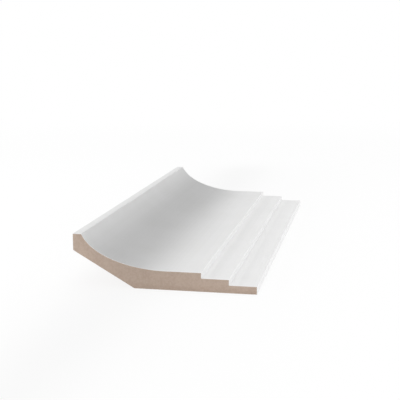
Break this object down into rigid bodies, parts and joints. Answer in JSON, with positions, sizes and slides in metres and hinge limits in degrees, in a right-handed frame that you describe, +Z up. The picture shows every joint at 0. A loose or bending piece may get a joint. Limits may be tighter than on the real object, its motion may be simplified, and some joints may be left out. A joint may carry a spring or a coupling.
{
  "type": "crown moulding",
  "caption": "Short length of primed MDF crown moulding: a narrow ridge, a wide elliptical cove, a level stretch and stepped flats down to a thin edge, cut square at both ends.",
  "frame": {"origin": "middle of the piece in width and length, at the level of the flat back that it lies on", "axes": "+X across the profile from the ridge to the thin edge, +Y along the length, +Z up from the flat back through the face"},
  "size_m": [0.133, 0.34, 0.038],
  "materials": {
    "primed_mdf": "matt white primer on the face and edges, raw tan MDF on the back and the two saw cuts"
  },
  "bodies": {
    "root": {"crown_moulding": "primed_mdf"}
  },
  "joints": []
}
